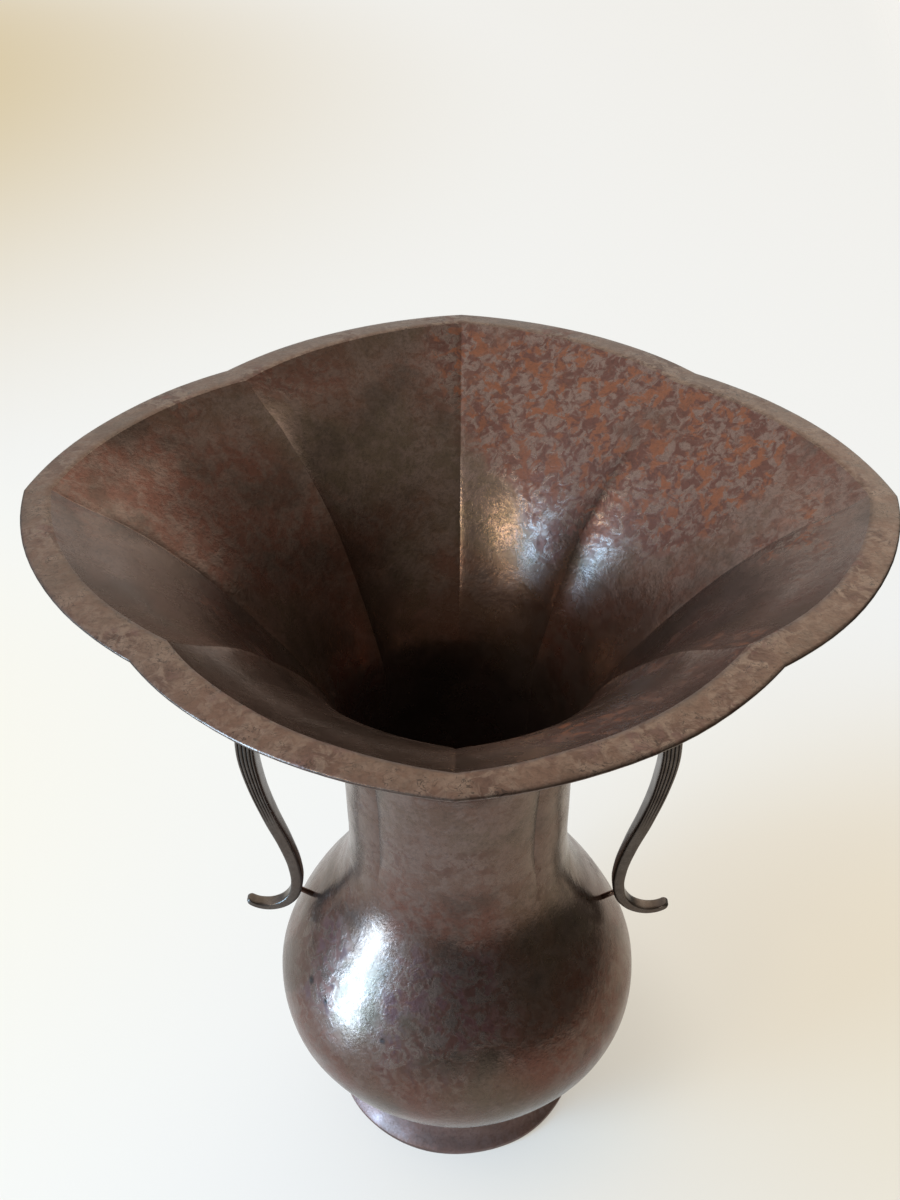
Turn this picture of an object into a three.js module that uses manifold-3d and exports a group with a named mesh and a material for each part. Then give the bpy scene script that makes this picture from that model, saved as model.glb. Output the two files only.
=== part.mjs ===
// Copper ikebana vase: a four-petal flared mouth on a fluted neck, a globe body and a flared foot ring,
// with a slender scroll handle on each side. Millimetres, +Z up, origin at the centre of the resting plane.
// The petals' points lie on the X and Y axes, and the notches between them lie at 45 degrees.
import * as THREE from "three";
import { mergeVertices } from "three/addons/utils/BufferGeometryUtils.js";
import Module from "manifold-3d";

const wasm = await Module();
wasm.setup();
const { lerp, smoothstep } = THREE.MathUtils;

// Driving dimensions
const HEIGHT = 261.2; // resting plane to the lip's upper face
const WALL = 1.4; // beaten sheet
const GAP = 0.3; // brazed seam between two touching pieces

const MOUTH_RADIUS = 127; // axis to a petal's point, at the lip's outer edge
const MOUTH_NOTCH_SHARE = 0.886; // notch radius over tip radius, at the lip's outer edge
const LIP_TIP_WIDTH = 8.3; // the lip's flat band at a petal's point
const LIP_NOTCH_WIDTH = 10.9; // and at a notch
const LIP_THICKNESS = 1.3;
const LIP_FALL = 0.4; // the lip's outer edge lies this much below its inner edge
const PETAL_BULGE = 0.0747; // height of a petal side's arc over its chord, as a share of the tip radius

const NECK_TOP = 177; // seam between the neck and the flare
const NECK_BOTTOM = 119; // seam between the neck and the shoulder
const NECK_RADIUS = 36.8; // inside
const NECK_SPREAD = 2.8; // how much wider the neck is at its top
const NECK_FOOT_FLARE = 0.64; // how much wider it is where it runs out into the shoulder
const NECK_BULGE = 0.084; // the neck's sides stand a little prouder than a circle's
const NECK_NOTCH_SHARE = 0.972; // notch radius over tip radius: the depth of the neck's flutes

const BELLY_HEIGHT = 58; // seam between the shoulder and the lower bowl, at the widest place
const BELLY_RADIUS = 65.8; // outside
const BOWL_DEPTH = 48; // how far the lower bowl's ellipse would reach below the belly

const FOOT_RADIUS = 46.4; // outside, on the table
const FOOT_WALL = 2.2;
const FOOT_EDGE = 1.8; // height of the upright edge that it stands on
const FOOT_WAIST_RADIUS = 38.2; // outside, under the bowl
const FOOT_SWEEP_RADIUS = 42; // where the tangents of the foot's two ends cross
const FOOT_SWEEP_HEIGHT = 5;
const BOWL_END_INSET = 5.2; // the bowl's sheet ends this far inside the foot's waist

const HANDLE_TOP_RISE = 24.5; // the handle's upper end above the neck's seam
const BEND_RISE = 32.7; // the shoulder's place behind the lower bend, above the belly seam
const BEND_STAND_OFF = 6.5; // from that place to the centre of the scroll
const BOW_REACH = 12.2; // the bow's widest place, measured out from the bend
const CURL_REACH = 17.9; // the curl's end, measured out from the bend
const CURL_DROP = 8.8; // the curl's lowest place, below the bend
const HANDLE_ROOT = 6; // the handle leaves the flare square to its face for this length

const PIN_RADIUS = 1;
const PIN_CLEARANCE = 0.3;
const PIN_IN_HANDLE = 4; // how deep the upper pin sits in the scroll

const ARCS = 8;
const STEPS_PER_ARC = 6;
const CIRCLE_BULGE = 1 - Math.cos(Math.PI / ARCS); // an arc with this bulge lies on a circle

const COPPER_BROWN = { color: 0x5a3a34, roughness: 0.42, metalness: 0.75 };
const LIP_BROWN = { color: 0x6b5148, roughness: 0.5, metalness: 0.7 };
const HANDLE_BLACK = { color: 0x38302c, roughness: 0.45, metalness: 0.7 };

// One closed ring of points: eight arcs between four points and four notches
function petalRing(tip, notch, bulge, z) {
  const from = new THREE.Vector2(tip, 0);
  const to = new THREE.Vector2(notch, notch).multiplyScalar(Math.SQRT1_2);
  const chord = to.clone().sub(from);
  const length = chord.length();
  const rise = bulge * tip;
  const radius = (length * length) / (8 * rise) + rise / 2;
  const outward = new THREE.Vector2(chord.y, -chord.x).divideScalar(length);
  const centre = from.clone().add(to).divideScalar(2).addScaledVector(outward, rise - radius);
  const first = from.clone().sub(centre).angle();
  const sweep = 2 * Math.asin(length / 2 / radius);
  const side = [];
  for (let i = 0; i <= STEPS_PER_ARC; i++) {
    const angle = first + (sweep * i) / STEPS_PER_ARC;
    side.push(new THREE.Vector2(Math.cos(angle), Math.sin(angle)).multiplyScalar(radius).add(centre));
  }
  const quarter = side.slice(0, STEPS_PER_ARC);
  for (let i = STEPS_PER_ARC; i > 0; i--) {
    quarter.push(new THREE.Vector2(side[i].y, side[i].x));
  }
  const ring = [];
  for (let turn = 0; turn < 4; turn++) {
    for (const point of quarter) {
      const turned = point.clone().rotateAround(new THREE.Vector2(), (turn * Math.PI) / 2);
      ring.push(new THREE.Vector3(turned.x, turned.y, z));
    }
  }
  return ring;
}

const roundRing = (radius, z) => petalRing(radius, radius, CIRCLE_BULGE, z);

// A closed body through a list of rings: the last ring joins the first, or both ends are capped
function loft(rings, capped) {
  const count = rings[0].length;
  const positions = rings.flat().flatMap((point) => point.toArray());
  const faces = [];
  const spans = capped ? rings.length - 1 : rings.length;
  for (let i = 0; i < spans; i++) {
    const low = i * count;
    const high = ((i + 1) % rings.length) * count;
    for (let j = 0; j < count; j++) {
      const next = (j + 1) % count;
      faces.push(low + j, low + next, high + next);
      faces.push(low + j, high + next, high + j);
    }
  }
  if (capped) {
    const last = (rings.length - 1) * count;
    for (let j = 1; j < count - 1; j++) {
      faces.push(0, j + 1, j);
      faces.push(last, last + j, last + j + 1);
    }
  }
  const geometry = new THREE.BufferGeometry();
  geometry.setAttribute("position", new THREE.Float32BufferAttribute(positions, 3));
  geometry.setIndex(signedVolume(positions, faces) < 0 ? faces.toReversed() : faces);
  return geometry;
}

function signedVolume(positions, faces) {
  const corner = (index) => new THREE.Vector3().fromArray(positions, 3 * index);
  let volume = 0;
  for (let i = 0; i < faces.length; i += 3) {
    volume += corner(faces[i]).dot(corner(faces[i + 1]).cross(corner(faces[i + 2])));
  }
  return volume / 6;
}

function solidOf(geometry) {
  const bare = geometry.clone();
  bare.deleteAttribute("normal");
  bare.deleteAttribute("uv");
  const merged = mergeVertices(bare, 1e-4);
  return new wasm.Manifold(
    new wasm.Mesh({
      numProp: 3,
      vertProperties: new Float32Array(merged.attributes.position.array),
      triVerts: new Uint32Array(merged.index.array),
    }),
  );
}

function geometryOf(solid) {
  const mesh = solid.getMesh();
  const geometry = new THREE.BufferGeometry();
  geometry.setAttribute("position", new THREE.BufferAttribute(mesh.vertProperties, 3));
  geometry.setIndex(new THREE.BufferAttribute(mesh.triVerts, 1));
  return geometry;
}

function cut(geometry, tools) {
  return geometryOf(tools.reduce((solid, tool) => solid.subtract(solidOf(tool)), solidOf(geometry)));
}

// A round bar between two points
function bar(from, to, radius) {
  const along = to.clone().sub(from);
  const geometry = new THREE.CylinderGeometry(radius, radius, along.length(), 16);
  const turn = new THREE.Quaternion().setFromUnitVectors(new THREE.Vector3(0, 1, 0), along.clone().normalize());
  geometry.applyQuaternion(turn);
  const middle = from.clone().add(to).divideScalar(2);
  return geometry.translate(middle.x, middle.y, middle.z);
}

// A smooth profile of radius and height, through shares of the way from one end to the other
function profileBetween(from, to, shares) {
  return new THREE.SplineCurve(
    shares.map(([across, along]) => new THREE.Vector2(lerp(from.x, to.x, across), lerp(from.y, to.y, along))),
  );
}

// Extra radius that gives a sloping wall its full thickness, from a profile's direction there
function levelThickness(direction) {
  return (WALL * direction.length()) / Math.abs(direction.y);
}

// A wall between an inner and an outer ring at each of a profile's levels, the profile being the inside
function petalShell(profile, levels, shareAt, bulgeAt) {
  const inner = [];
  const outer = [];
  for (let i = 0; i <= levels; i++) {
    const point = profile.getPoint(i / levels);
    const tip = point.x + levelThickness(profile.getTangent(i / levels));
    const share = shareAt(point.y);
    const bulge = bulgeAt(point.y);
    inner.push(petalRing(point.x, point.x * share, bulge, point.y));
    outer.push(petalRing(tip, tip * share, bulge, point.y));
  }
  return loft([...inner, ...outer.toReversed()]);
}

// A round wall, the profile being the outside
function roundShell(profile, levels) {
  const outer = [];
  const inner = [];
  for (let i = 0; i <= levels; i++) {
    const point = profile.getPoint(i / levels);
    outer.push(roundRing(point.x, point.y));
    inner.push(roundRing(point.x - levelThickness(profile.getTangent(i / levels)), point.y));
  }
  return loft([...outer, ...inner.toReversed()]);
}

// Mouth: a flat lip on a flare whose petals run out into the neck's flutes
const LIP_NOTCH_RADIUS = MOUTH_RADIUS * MOUTH_NOTCH_SHARE;
const FLARE_TIP = MOUTH_RADIUS - LIP_TIP_WIDTH;
const FLARE_NOTCH = LIP_NOTCH_RADIUS - LIP_NOTCH_WIDTH;
const FLARE_TOP = HEIGHT - LIP_THICKNESS - LIP_FALL / 2 - GAP;
const FLARE_RISE = FLARE_TOP - NECK_TOP;
const PETALS_FADE = 0.4; // the petals start to grow shallower at this share of the flare's depth

function mouthLip() {
  const bottom = HEIGHT - LIP_THICKNESS;
  return loft([
    petalRing(FLARE_TIP, FLARE_NOTCH, PETAL_BULGE, HEIGHT),
    petalRing(MOUTH_RADIUS, LIP_NOTCH_RADIUS, PETAL_BULGE, HEIGHT - LIP_FALL),
    petalRing(MOUTH_RADIUS, LIP_NOTCH_RADIUS, PETAL_BULGE, bottom - LIP_FALL),
    petalRing(FLARE_TIP, FLARE_NOTCH, PETAL_BULGE, bottom),
  ]);
}

const neckTopInside = new THREE.Vector2(NECK_RADIUS + NECK_SPREAD, NECK_TOP);
const flareProfile = profileBetween(neckTopInside, new THREE.Vector2(FLARE_TIP, FLARE_TOP), [
  [1, 1],
  [0.767, 0.881],
  [0.544, 0.712],
  [0.254, 0.404],
  [0.091, 0.182],
  [0, 0],
]);

function flareShare(z) {
  const fade = smoothstep(FLARE_TOP - z, PETALS_FADE * FLARE_RISE, FLARE_RISE);
  return lerp(FLARE_NOTCH / FLARE_TIP, NECK_NOTCH_SHARE, fade);
}

function flareBulge(z) {
  return lerp(PETAL_BULGE, NECK_BULGE, smoothstep(FLARE_TOP - z, 0, FLARE_RISE));
}

// Neck: fluted above, and round where it meets the shoulder
const neckFoot = new THREE.Vector2(NECK_RADIUS, NECK_BOTTOM);
const neckHead = new THREE.Vector2(neckTopInside.x, NECK_TOP - GAP);
const neckProfile = profileBetween(neckFoot, neckHead, [
  [1, 1],
  [0.2, 0.7],
  [0.02, 0.35],
  [0, 0.12],
  [NECK_FOOT_FLARE / NECK_SPREAD, 0],
]);
const FLUTES_BEGIN = 0.4; // the flutes reach their full depth at this share of the neck's height
const fluteFade = (z) => smoothstep(z, NECK_BOTTOM, lerp(NECK_BOTTOM, NECK_TOP, FLUTES_BEGIN));
const neckShare = (z) => lerp(1, NECK_NOTCH_SHARE, fluteFade(z));
const neckBulge = (z) => lerp(CIRCLE_BULGE, NECK_BULGE, fluteFade(z));

// Body: the shoulder above the widest place, and a bowl with an elliptic section below it
const shoulderHead = new THREE.Vector2(NECK_RADIUS + NECK_FOOT_FLARE + WALL, NECK_BOTTOM - GAP);
const shoulderFoot = new THREE.Vector2(BELLY_RADIUS, BELLY_HEIGHT + GAP / 2);
const shoulderProfile = profileBetween(shoulderHead, shoulderFoot, [
  [0, 0],
  [0.056, 0.094],
  [0.142, 0.193],
  [0.245, 0.276],
  [0.395, 0.375],
  [0.555, 0.482],
  [0.694, 0.59],
  [0.814, 0.697],
  [0.915, 0.804],
  [0.977, 0.903],
  [1, 1],
]);

// Height of the bowl's outer face at a radius
function bowlHeight(radius) {
  return BELLY_HEIGHT - BOWL_DEPTH * Math.sqrt(1 - (radius / BELLY_RADIUS) ** 2);
}

const bowlEnd = Math.acos((FOOT_WAIST_RADIUS - BOWL_END_INSET) / BELLY_RADIUS);
const bowlProfile = new THREE.EllipseCurve(
  0, BELLY_HEIGHT - GAP / 2, BELLY_RADIUS, BOWL_DEPTH - GAP / 2, 0, -bowlEnd, true,
);

// Foot: a ring that sweeps out from the waist under the bowl to an upright edge on the table
function footSweep(inset) {
  const waist = FOOT_WAIST_RADIUS - inset;
  return new THREE.QuadraticBezierCurve(
    new THREE.Vector2(FOOT_RADIUS - inset, FOOT_EDGE),
    new THREE.Vector2(FOOT_SWEEP_RADIUS - inset, FOOT_SWEEP_HEIGHT),
    new THREE.Vector2(waist, bowlHeight(waist) - GAP),
  );
}

function footRing() {
  const SWEEP_STEPS = 6;
  const asRing = (point) => roundRing(point.x, point.y);
  return loft([
    roundRing(FOOT_RADIUS, 0),
    ...footSweep(0).getPoints(SWEEP_STEPS).map(asRing),
    ...footSweep(FOOT_WALL).getPoints(SWEEP_STEPS).toReversed().map(asRing),
    roundRing(FOOT_RADIUS - FOOT_WALL, 0),
  ]);
}

// The disc that closes the bowl from inside the foot ring, with a bevelled edge along the bowl's slope
function basePlate() {
  const low = bowlProfile.getPoint(1);
  const radius = low.x - levelThickness(bowlProfile.getTangent(1)) - GAP;
  return loft([roundRing(radius, low.y), roundRing(radius + WALL, low.y + WALL)], true);
}

// The place on a profile at a height: its point, and the direction that points away from the axis there
function faceAt(profile, height) {
  let at = 0;
  while (at < 1 && profile.getPoint(at).y > height) {
    at += 0.001;
  }
  const tangent = profile.getTangent(at);
  return { point: profile.getPoint(at), tangent, outward: new THREE.Vector2(-tangent.y, tangent.x) };
}

// Handles: the scroll's centre line in the plane of a petal's point
const flareInside = faceAt(flareProfile, NECK_TOP + HANDLE_TOP_RISE);
const flareFace = flareInside.point.clone();
flareFace.x += levelThickness(flareInside.tangent);
const handleStart = flareFace.clone().addScaledVector(flareInside.outward, GAP);
const shoulderFace = faceAt(shoulderProfile, BELLY_HEIGHT + BEND_RISE);
const bend = shoulderFace.point.clone().addScaledVector(shoulderFace.outward, BEND_STAND_OFF);

// Shares of the bow's reach, and of the height from the bend to the handle's upper end
const bowShape = [
  [0.59, 0.88],
  [0.9, 0.77],
  [1, 0.65],
  [0.85, 0.49],
  [0.53, 0.34],
  [0.2, 0.22],
  [-0.02, 0.11],
  [-0.05, 0.04],
];
// Shares of the curl's reach and of its drop
const curlShape = [
  [0.07, 0.34],
  [0.3, 0.82],
  [0.59, 1],
  [0.84, 0.9],
  [1, 0.66],
];
const handleLine = new THREE.SplineCurve([
  handleStart,
  handleStart.clone().addScaledVector(flareInside.outward, HANDLE_ROOT),
  ...bowShape.map(([out, up]) => new THREE.Vector2(bend.x + out * BOW_REACH, lerp(bend.y, handleStart.y, up))),
  ...curlShape.map(([out, down]) => new THREE.Vector2(bend.x + out * CURL_REACH, bend.y - down * CURL_DROP)),
]);

// Thickness in the scroll's plane and width across it, at even steps from the flare to the curl's end
const handleGirth = new THREE.SplineCurve([
  new THREE.Vector2(7.2, 9.8),
  new THREE.Vector2(7.0, 9.9),
  new THREE.Vector2(6.5, 9.8),
  new THREE.Vector2(4.9, 7.6),
  new THREE.Vector2(4.6, 5.4),
  new THREE.Vector2(4.3, 5.0),
  new THREE.Vector2(1.8, 4.5),
]);
const HANDLE_STEPS = 44;
const SECTION_CORNERS = 12;
const SECTION_SQUARENESS = 0.5; // 1 makes an ellipse, and 0 a rectangle

function handleSection(centre, normal, thickness, width) {
  const ring = [];
  for (let i = 0; i < SECTION_CORNERS; i++) {
    const angle = (2 * Math.PI * (i + 0.5)) / SECTION_CORNERS;
    const squared = (value) => Math.sign(value) * Math.abs(value) ** SECTION_SQUARENESS;
    const outward = (squared(Math.cos(angle)) * thickness) / 2;
    const across = (squared(Math.sin(angle)) * width) / 2;
    ring.push(new THREE.Vector3(centre.x + normal.x * outward, across, centre.y + normal.y * outward));
  }
  return ring;
}

function handleScroll() {
  const rings = [];
  for (let i = 0; i <= HANDLE_STEPS; i++) {
    const at = i / HANDLE_STEPS;
    const tangent = handleLine.getTangentAt(at);
    const normal = new THREE.Vector2(-tangent.y, tangent.x);
    const girth = handleGirth.getPoint(at);
    rings.push(handleSection(handleLine.getPointAt(at), normal, girth.x, girth.y));
  }
  return loft(rings, true);
}

// Pins: each runs from the inside of the wall into the scroll
const inPlane = (point) => new THREE.Vector3(point.x, 0, point.y);
const topPinEnds = [
  inPlane(flareFace.clone().addScaledVector(flareInside.outward, -WALL)),
  inPlane(handleStart.clone().addScaledVector(flareInside.outward, PIN_IN_HANDLE)),
];
const footPinEnds = [
  inPlane(shoulderFace.point.clone().addScaledVector(shoulderFace.outward, -WALL)),
  inPlane(bend),
];
const PAST_WALL = 4; // each hole's drill starts this far inside the wall

function pinHole([inside, outside]) {
  const along = outside.clone().sub(inside).normalize();
  const from = inside.clone().addScaledVector(along, -PAST_WALL);
  const to = outside.clone().addScaledVector(along, PIN_CLEARANCE);
  return bar(from, to, PIN_RADIUS + PIN_CLEARANCE);
}

const topHole = pinHole(topPinEnds);
const footHole = pinHole(footPinEnds);
const turnedAbout = (geometry) => geometry.clone().rotateZ(Math.PI);

const FLARE_LEVELS = 12;
const NECK_LEVELS = 7;
const SHOULDER_LEVELS = 12;
const BOWL_LEVELS = 8;

const vase = new THREE.Group();

function add(name, geometry, look, parent = vase) {
  const mesh = new THREE.Mesh(geometry, new THREE.MeshStandardMaterial(look));
  mesh.name = name;
  parent.add(mesh);
}

const flare = petalShell(flareProfile, FLARE_LEVELS, flareShare, flareBulge);
const shoulder = roundShell(shoulderProfile, SHOULDER_LEVELS);

add("mouth_lip", mouthLip(), LIP_BROWN);
add("mouth_flare", cut(flare, [topHole, turnedAbout(topHole)]), COPPER_BROWN);
add("neck", petalShell(neckProfile, NECK_LEVELS, neckShare, neckBulge), COPPER_BROWN);
add("shoulder", cut(shoulder, [footHole, turnedAbout(footHole)]), COPPER_BROWN);
add("lower_bowl", roundShell(bowlProfile, BOWL_LEVELS), COPPER_BROWN);
add("foot_ring", footRing(), COPPER_BROWN);
add("base_plate", basePlate(), COPPER_BROWN);

for (const [side, turn] of [["right", 0], ["left", Math.PI]]) {
  const group = new THREE.Group();
  group.rotation.z = turn;
  vase.add(group);
  add(`${side}_handle`, cut(handleScroll(), [topHole, footHole]), HANDLE_BLACK, group);
  add(`${side}_handle_top_pin`, bar(...topPinEnds, PIN_RADIUS), HANDLE_BLACK, group);
  add(`${side}_handle_foot_pin`, bar(...footPinEnds, PIN_RADIUS), HANDLE_BLACK, group);
}

export default vase;
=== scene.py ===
import math

import bpy
import numpy as np
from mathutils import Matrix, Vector, noise


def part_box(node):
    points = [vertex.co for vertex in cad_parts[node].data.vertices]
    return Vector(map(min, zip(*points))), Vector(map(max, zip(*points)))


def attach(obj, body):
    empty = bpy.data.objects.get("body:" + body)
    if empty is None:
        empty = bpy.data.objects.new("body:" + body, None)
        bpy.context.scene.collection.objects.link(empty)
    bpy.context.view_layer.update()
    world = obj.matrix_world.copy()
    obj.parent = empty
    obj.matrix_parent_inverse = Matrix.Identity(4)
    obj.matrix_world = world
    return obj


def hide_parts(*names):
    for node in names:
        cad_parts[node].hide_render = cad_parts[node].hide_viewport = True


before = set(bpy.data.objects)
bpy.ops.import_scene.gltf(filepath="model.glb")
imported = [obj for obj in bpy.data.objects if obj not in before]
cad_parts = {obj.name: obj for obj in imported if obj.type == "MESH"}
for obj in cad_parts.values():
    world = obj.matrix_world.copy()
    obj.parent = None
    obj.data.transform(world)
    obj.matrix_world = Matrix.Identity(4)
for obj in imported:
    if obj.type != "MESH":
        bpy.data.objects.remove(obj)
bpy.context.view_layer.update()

# Copper ikebana vase: fine meshes that stand for the CAD nodes, a mottled patina, a pale floor and
# window light. Metres, +Z up. The petals' points lie on the X and Y axes, and the notches at 45
# degrees between them.

# Sizes from the frame
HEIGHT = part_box("mouth_lip")[1].z
MOUTH_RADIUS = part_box("mouth_lip")[1].y
NECK_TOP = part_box("mouth_flare")[0].z
NECK_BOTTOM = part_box("neck")[0].z
BELLY_HEIGHT = (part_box("shoulder")[0].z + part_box("lower_bowl")[1].z) / 2
BELLY_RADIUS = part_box("lower_bowl")[1].y
FOOT_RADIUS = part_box("foot_ring")[1].y

# Driving dimensions, as in the CAD model
WALL = 0.0014
MOUTH_NOTCH_SHARE = 0.886
LIP_TIP_WIDTH = 0.0083
LIP_NOTCH_WIDTH = 0.0109
LIP_THICKNESS = 0.0013
LIP_FALL = 0.0004
PETAL_BULGE = 0.0747
NECK_RADIUS = 0.0368
NECK_SPREAD = 0.0028
NECK_BULGE = 0.084
NECK_NOTCH_SHARE = 0.972
BOWL_DEPTH = 0.048
FOOT_WALL = 0.0022
FOOT_EDGE = 0.0018
FOOT_WAIST_RADIUS = 0.0382
FOOT_SWEEP_RADIUS = 0.042
FOOT_SWEEP_HEIGHT = 0.005
BOWL_END_RADIUS = 0.0308  # outside, where the sheet is cut square just under the disc's rim
HANDLE_TOP_RISE = 0.0245
BEND_RISE = 0.0327
BEND_STAND_OFF = 0.0065
BOW_REACH = 0.0122
CURL_REACH = 0.0179
CURL_DROP = 0.0088
HANDLE_ROOT = 0.006
PIN_RADIUS = 0.001
PIN_IN_WALL = 0.0007  # the pins begin this far inside the sheet
TOP_PIN_REACH = 0.004  # and the upper ones end this far outside it

# What the fine meshes add
ARCS = 8
STEPS_PER_ARC = 24
CIRCLE_BULGE = 1 - math.cos(math.pi / ARCS)
CURVE_STEPS = 4000  # a smooth curve is measured in this many steps before it is cut into even ones
BODY_STEPS = 60
BODY_STRIDE = 6  # the profile passes through every sixth point of the body
PROFILE_POINTS = 1200
SHARP_ANGLE = 38
FOLD = 0.00035  # how far the lip has turned down where the flare takes over
SEAM_RING = 0.006  # a ring this share of a piece's length from each end keeps a seam's shading even
DENTS = ((0.027, 0.0003), (0.011, 0.00008))  # width and height of the unevenness left by the hammer
DENT_INSET = 0.0002  # how far the sheet moves in, so that no dent passes the CAD surface
MOUTH_SHAPE_SHARE = 0.4  # of the flare's height, at its top, where the petals keep the mouth's outline
ROUND_SHARE = 0.4  # of the neck's height, at its foot, where it changes from a circle to four flutes
RIDGE_HEIGHT = 0.0013  # the pressed ridges at the notches stand this far in from the petals' arcs
RIDGE_WIDTH = 0.0032
RIDGE_START = (0.0005, 0.014)  # depths below the mouth between which the ridges grow
RIDGE_END = (NECK_BOTTOM - 0.004, NECK_BOTTOM + 0.022)  # heights between which they fade out
VALLEY_DEPTH = 0.0005  # the creases at the points are pressed this far out
VALLEY_WIDTH = 0.0014
VALLEY_START = (0.0, 0.004)  # depths and heights as for the ridges
VALLEY_END = (NECK_TOP - 0.01, NECK_TOP + 0.02)


def lerp(a, b, t):
    return a + (b - a) * t


def smoothstep(value, low, high):
    t = np.clip((value - low) / (high - low), 0, 1)
    return t * t * (3 - 2 * t)


# Curves

def smooth_curve(points, count):
    """Points at even steps along a smooth curve through the given points."""
    points = np.array(points, float)
    at = np.concatenate([[0], np.cumsum(np.linalg.norm(np.diff(points, axis=0), axis=1))])
    slopes = np.gradient(points, at, axis=0, edge_order=2)
    fine = np.linspace(0, at[-1], CURVE_STEPS)
    span = np.clip(np.searchsorted(at, fine, side="right") - 1, 0, len(at) - 2)
    width = (at[span + 1] - at[span])[:, None]
    t = (fine - at[span])[:, None] / width
    curve = (
        (2 * t**3 - 3 * t**2 + 1) * points[span]
        + (t**3 - 2 * t**2 + t) * width * slopes[span]
        + (3 * t**2 - 2 * t**3) * points[span + 1]
        + (t**3 - t**2) * width * slopes[span + 1]
    )
    length = np.concatenate([[0], np.cumsum(np.linalg.norm(np.diff(curve, axis=0), axis=1))])
    even = np.linspace(0, length[-1], count)
    return np.column_stack([np.interp(even, length, curve[:, i]) for i in range(2)])


def tangents(curve):
    along = np.gradient(curve, axis=0)
    return along / np.linalg.norm(along, axis=1)[:, None]


def offset(curve, distance):
    """The curve moved away from the axis by a distance. It has to run downwards."""
    along = tangents(curve)
    return curve + distance * np.column_stack([-along[:, 1], along[:, 0]])


def between(start, end, shares):
    """Points at shares of the way from start to end, across and along the axis."""
    return [(lerp(start[0], end[0], across), lerp(start[1], end[1], along)) for across, along in shares]


def nearest(curve, height):
    """Index of the curve's point that is closest to a height."""
    return int(np.argmin(abs(curve[:, 1] - height)))


def outward_at(curve, index):
    """The direction away from the curve's wall, and so from the axis, at one of its points."""
    return tangents(curve)[index][::-1] * [-1, 1]


# Rings

def arc_points(tip, notch, bulge):
    """One side of a petal, from its point on the X axis to the notch at 45 degrees."""
    start = np.array([tip, 0.0])
    end = np.array([notch, notch]) * math.sqrt(0.5)
    chord = end - start
    length = np.linalg.norm(chord)
    rise = bulge * tip
    radius = length**2 / (8 * rise) + rise / 2
    outward = np.array([chord[1], -chord[0]]) / length
    centre = (start + end) / 2 + outward * (rise - radius)
    first = math.atan2(*(start - centre)[::-1])
    sweep = 2 * math.asin(length / 2 / radius)
    share = (1 - np.cos(np.linspace(0, math.pi, STEPS_PER_ARC + 1))) / 2
    angle = first + sweep * share
    return centre + radius * np.column_stack([np.cos(angle), np.sin(angle)])


def petal_ring(tip, notch, bulge, z, ridge=0.0, valley=0.0):
    """A ring of four petals, with a ridge pressed in at each notch and a valley out at each point."""
    side = arc_points(tip, notch, bulge)
    from_point = np.linalg.norm(side - side[0], axis=1)
    from_notch = np.linalg.norm(side - side[-1], axis=1)
    push = valley * np.exp(-from_point / VALLEY_WIDTH) - ridge * np.exp(-from_notch / RIDGE_WIDTH)
    side = side * (1 + push / np.linalg.norm(side, axis=1))[:, None]
    quarter = np.vstack([side[:-1], side[:0:-1, ::-1]])
    turns = [quarter, quarter[:, ::-1] * [-1, 1], -quarter, quarter[:, ::-1] * [1, -1]]
    flat = np.vstack(turns)
    return np.column_stack([flat, np.full(len(flat), z)])


def petals_at(z):
    """The notch's share of the tip radius, and the sides' bulge, at a height."""
    flare_top = HEIGHT - FOLD
    if z >= NECK_TOP:
        rise = flare_top - NECK_TOP
        mouth_share = (MOUTH_RADIUS * MOUTH_NOTCH_SHARE - LIP_NOTCH_WIDTH) / (MOUTH_RADIUS - LIP_TIP_WIDTH)
        necked = smoothstep(flare_top - z, MOUTH_SHAPE_SHARE * rise, rise)
        share = lerp(mouth_share, NECK_NOTCH_SHARE, necked)
        return share, lerp(PETAL_BULGE, NECK_BULGE, smoothstep(flare_top - z, 0, rise))
    fluted = smoothstep(z, NECK_BOTTOM, lerp(NECK_BOTTOM, NECK_TOP, ROUND_SHARE))
    return lerp(1, NECK_NOTCH_SHARE, fluted), lerp(CIRCLE_BULGE, NECK_BULGE, fluted)


# Meshes

def new_object(name, verts, faces):
    mesh = bpy.data.meshes.new(name)
    mesh.from_pydata([tuple(v) for v in verts], [], [tuple(f) for f in faces])
    mesh.update()
    obj = bpy.data.objects.new(name, mesh)
    bpy.context.scene.collection.objects.link(obj)
    mesh.shade_smooth()
    mesh.set_sharp_from_angle(angle=math.radians(SHARP_ANGLE))
    return obj


def loft(rings, capped):
    """Vertices and faces through equal rings: the last joins the first, or both ends are capped."""
    count = len(rings[0])
    verts = np.vstack(rings)
    faces = []
    spans = len(rings) - 1 if capped else len(rings)
    for i in range(spans):
        low = i * count
        high = ((i + 1) % len(rings)) * count
        for j in range(count):
            k = (j + 1) % count
            faces.append((low + j, low + k, high + k, high + j))
    if capped:
        faces.append(tuple(range(count))[::-1])
        faces.append(tuple(range((len(rings) - 1) * count, len(rings) * count)))
    if volume(verts, faces) < 0:
        faces = [face[::-1] for face in faces]
    return verts, faces


def volume(verts, faces):
    total = 0.0
    for face in faces:
        a = verts[face[0]]
        for b, c in zip(face[1:-1], face[2:]):
            total += np.dot(a, np.cross(verts[b], verts[c]))
    return total / 6


def beaten(verts):
    """Moves points in or out by the slow unevenness of sheet that was raised by hammer."""
    moved = verts.copy()
    for i, vert in enumerate(verts):
        where = Vector(vert)
        slow = sum(noise.noise(where / width) * height for width, height in DENTS)
        scale = 1 + (slow - DENT_INSET) / math.hypot(vert[0], vert[1])
        moved[i, 0] *= scale
        moved[i, 1] *= scale
    return moved


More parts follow.
